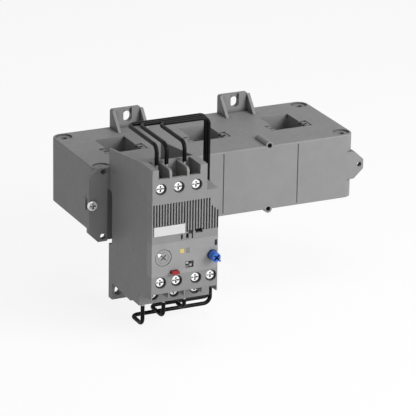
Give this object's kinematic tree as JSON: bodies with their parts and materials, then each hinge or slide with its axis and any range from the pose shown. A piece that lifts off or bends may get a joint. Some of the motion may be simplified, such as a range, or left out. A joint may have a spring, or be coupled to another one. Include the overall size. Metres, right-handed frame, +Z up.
{
  "type": "electronic overload relay",
  "caption": "Electronic motor overload relay on a current transformer block with busbar windows, joined by formed black leads.",
  "frame": {"origin": "centre of the mounting plane, the back face shared by the transformer block and its four slotted lugs", "axes": "+X along the transformer block, -Y out of the relay's operating face, +Z up"},
  "size_m": [0.1987, 0.15, 0.1277],
  "materials": {
    "adapter_plastic": "fine matt moulded grey plastic",
    "aux_plastic": "fine matt moulded grey plastic",
    "base_plastic": "matt moulded grey plastic",
    "block_plastic": "fine matt moulded grey plastic",
    "board_laminate": "green glass-fibre laminate",
    "bracket_plastic": "fine matt moulded grey plastic",
    "button_red": "red moulded plastic",
    "core_steel": "laminated electrical steel",
    "cover_plastic": "fine matt moulded grey plastic",
    "cover_screw_steel": "black zinc-plated steel",
    "dial_plastic": "grey moulded plastic",
    "fascia_plastic": "light matt grey plastic",
    "gland_rubber": "black rubber",
    "inner_plastic": "black moulded plastic",
    "knob_blue": "blue moulded plastic",
    "label_plastic": "plain white label",
    "lead_insulation": "smooth black wire insulation",
    "light_yellow": "translucent yellow lens",
    "pointer_white": "white inlay",
    "rear_plastic": "fine matt moulded grey plastic",
    "screw_steel": "bright nickel-plated steel",
    "signal_grey": "grey signal lens",
    "slider_white": "white slider",
    "solenoid_copper": "enamelled copper wire",
    "tinned_copper": "tin-plated copper",
    "winding_copper": "enamelled copper wire"
  },
  "bodies": {
    "frame": {"adapter": "adapter_plastic", "adapter_screws": "screw_steel", "aux_clamps": "tinned_copper", "aux_screws": "screw_steel", "aux_terminal_block": "aux_plastic", "block_base": "base_plastic", "block_housing": "block_plastic", "block_screws": "cover_screw_steel", "board_parts": "inner_plastic", "bottom_ferrules": "tinned_copper", "bottom_lead_1": "lead_insulation", "bottom_lead_2": "lead_insulation", "bottom_lead_3": "lead_insulation", "bracket": "bracket_plastic", "bracket_screws": "screw_steel", "circuit_board": "board_laminate", "conductors": "tinned_copper", "core_left": "core_steel", "core_middle": "core_steel", "core_right": "core_steel", "fascia": "fascia_plastic", "fixed_contacts": "tinned_copper", "front_cover": "cover_plastic", "lead_gland": "gland_rubber", "main_clamps": "tinned_copper", "main_screws": "screw_steel", "marker_label": "label_plastic", "potentiometer": "inner_plastic", "rear_housing": "rear_plastic", "reset_spring": "screw_steel", "selector_body": "inner_plastic", "signal_window": "signal_grey", "solenoid": "solenoid_copper", "status_light": "light_yellow", "test_spring": "screw_steel", "top_clamps": "tinned_copper", "top_ferrules": "tinned_copper", "top_lead_1": "lead_insulation", "top_lead_2": "lead_insulation", "top_lead_3": "lead_insulation", "top_screws": "screw_steel", "toroids": "core_steel", "winding_left": "winding_copper", "winding_middle": "winding_copper", "winding_right": "winding_copper"},
    "dial": {"setting_dial": "dial_plastic", "dial_pointer": "pointer_white"},
    "knob": {"reset_knob": "knob_blue"},
    "plunger": {"reset_plunger": "inner_plastic"},
    "test": {"test_button": "button_red"},
    "slider_left": {"selector_slider_left": "slider_white"},
    "slider_right": {"selector_slider_right": "slider_white"},
    "trip": {"contact_carrier": "inner_plastic", "moving_contacts": "tinned_copper", "armature": "core_steel"}
  },
  "joints": [
    {"name": "dial_turn", "type": "hinge", "parent": "frame", "child": "dial", "pos_m": [-0.0765, -0.1433, -0.01485], "axis": [0, -1, 0], "range_deg": [-225, 45]},
    {"name": "reset_push", "type": "slide", "parent": "frame", "child": "plunger", "axis": [0, 1, 0], "range_m": [0, 0.0025], "stiffness_N_per_m": 600, "springref_m": -0.002},
    {"name": "reset_turn", "type": "hinge", "parent": "plunger", "child": "knob", "pos_m": [-0.0433, -0.15, -0.01745], "axis": [0, -1, 0], "range_deg": [-90, 0]},
    {"name": "test_push", "type": "slide", "parent": "frame", "child": "test", "axis": [0, 1, 0], "range_m": [0, 0.0015], "stiffness_N_per_m": 600, "springref_m": -0.001},
    {"name": "selector_left_slide", "type": "slide", "parent": "frame", "child": "slider_left", "axis": [0, 0, -1], "range_m": [0, 0.0016]},
    {"name": "selector_right_slide", "type": "slide", "parent": "frame", "child": "slider_right", "axis": [0, 0, 1], "range_m": [0, 0.0016]},
    {"name": "trip_slide", "type": "slide", "parent": "frame", "child": "trip", "axis": [0, 0, 1], "range_m": [0, 0.0012]}
  ]
}
